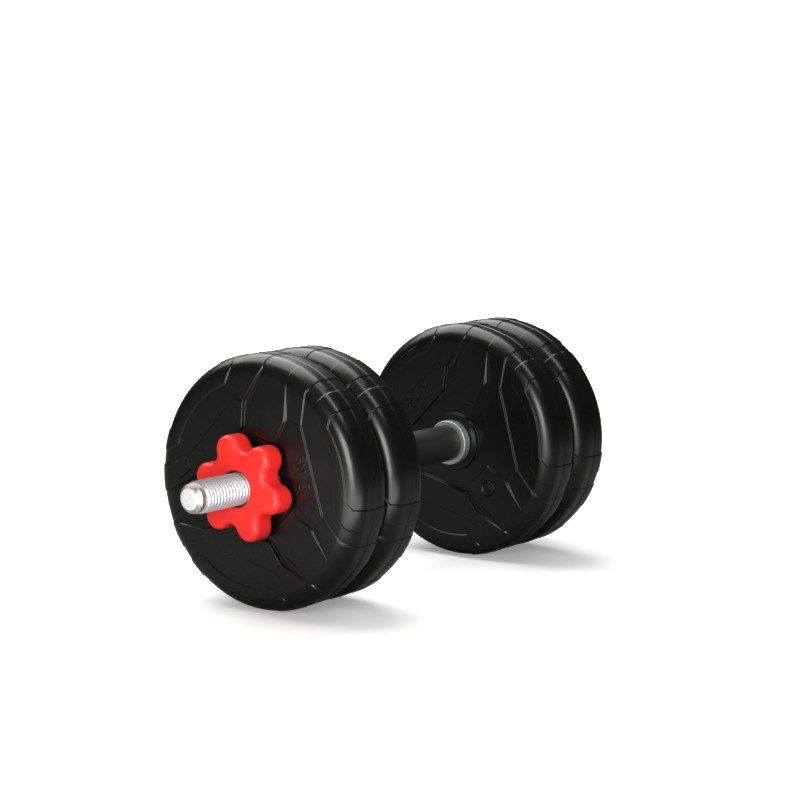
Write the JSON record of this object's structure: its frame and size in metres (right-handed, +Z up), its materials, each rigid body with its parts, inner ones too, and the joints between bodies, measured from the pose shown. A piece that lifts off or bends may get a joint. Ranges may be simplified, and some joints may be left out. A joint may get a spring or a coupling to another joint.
{
  "type": "adjustable dumbbell",
  "caption": "Threaded bar with a sleeve grip, round filled plates at both ends and star nuts that clamp them against fixed collars.",
  "frame": {"origin": "on the floor under the middle of the bar, at the centre of the box's base", "axes": "+X along the bar, +Z up"},
  "size_m": [0.5, 0.2, 0.2],
  "materials": {
    "bar": "bright zinc plate on a rolled thread",
    "grip": "satin black sleeve",
    "collar": "bright zinc plate",
    "plate_shell": "satin black, blow-moulded",
    "plate_core": "rough set cement",
    "plate_plug": "satin black",
    "star_nut": "satin bright red, moulded",
    "threaded_insert": "zinc plated",
    "washer": "matt black"
  },
  "bodies": {
    "bar": {"threaded_bar": "bar", "grip_sleeve": "grip", "fixed_collar_left": "collar", "fixed_collar_right": "collar"},
    "inner_plate_left": {"inner_plate_shell_left": "plate_shell", "inner_plate_core_left": "plate_core", "inner_plate_plug_left": "plate_plug"},
    "outer_plate_left": {"outer_plate_shell_left": "plate_shell", "outer_plate_core_left": "plate_core", "outer_plate_plug_left": "plate_plug"},
    "washer_left": {"rubber_washer_left": "washer"},
    "nut_left": {"star_nut_left": "star_nut", "threaded_insert_left": "threaded_insert"},
    "inner_plate_right": {"inner_plate_shell_right": "plate_shell", "inner_plate_core_right": "plate_core", "inner_plate_plug_right": "plate_plug"},
    "outer_plate_right": {"outer_plate_shell_right": "plate_shell", "outer_plate_core_right": "plate_core", "outer_plate_plug_right": "plate_plug"},
    "washer_right": {"rubber_washer_right": "washer"},
    "nut_right": {"star_nut_right": "star_nut", "threaded_insert_right": "threaded_insert"}
  },
  "joints": [
    {"name": "outer_plate_slide_left", "type": "slide", "parent": "bar", "child": "outer_plate_left", "axis": [-1, 0, 0], "range_m": [0, 0.03967]},
    {"name": "inner_plate_slide_left", "type": "slide", "parent": "bar", "child": "inner_plate_left", "axis": [-1, 0, 0], "range_m": [0, 0.01984]},
    {"name": "washer_slide_left", "type": "slide", "parent": "bar", "child": "washer_left", "axis": [-1, 0, 0], "range_m": [0, 0.0595]},
    {"name": "nut_spin_left", "type": "hinge", "parent": "washer_left", "child": "nut_left", "pos_m": [-0.1886, 0, 0.1], "axis": [-1, 0, 0], "range_deg": [0, 6120]},
    {"name": "outer_plate_slide_right", "type": "slide", "parent": "bar", "child": "outer_plate_right", "axis": [1, 0, 0], "range_m": [0, 0.03967]},
    {"name": "inner_plate_slide_right", "type": "slide", "parent": "bar", "child": "inner_plate_right", "axis": [1, 0, 0], "range_m": [0, 0.01984]},
    {"name": "washer_slide_right", "type": "slide", "parent": "bar", "child": "washer_right", "axis": [1, 0, 0], "range_m": [0, 0.0595]},
    {"name": "nut_spin_right", "type": "hinge", "parent": "washer_right", "child": "nut_right", "pos_m": [0.1886, 0, 0.1], "axis": [1, 0, 0], "range_deg": [0, 6120]}
  ],
  "couplings": [
    {"joint": "inner_plate_slide_left", "follows": "outer_plate_slide_left", "ratio": 0.5},
    {"joint": "washer_slide_left", "follows": "outer_plate_slide_left", "ratio": 1.5},
    {"joint": "nut_spin_left", "follows": "outer_plate_slide_left", "rad_per_m": 2692.8},
    {"joint": "inner_plate_slide_right", "follows": "outer_plate_slide_right", "ratio": 0.5},
    {"joint": "washer_slide_right", "follows": "outer_plate_slide_right", "ratio": 1.5},
    {"joint": "nut_spin_right", "follows": "outer_plate_slide_right", "rad_per_m": 2692.8}
  ]
}
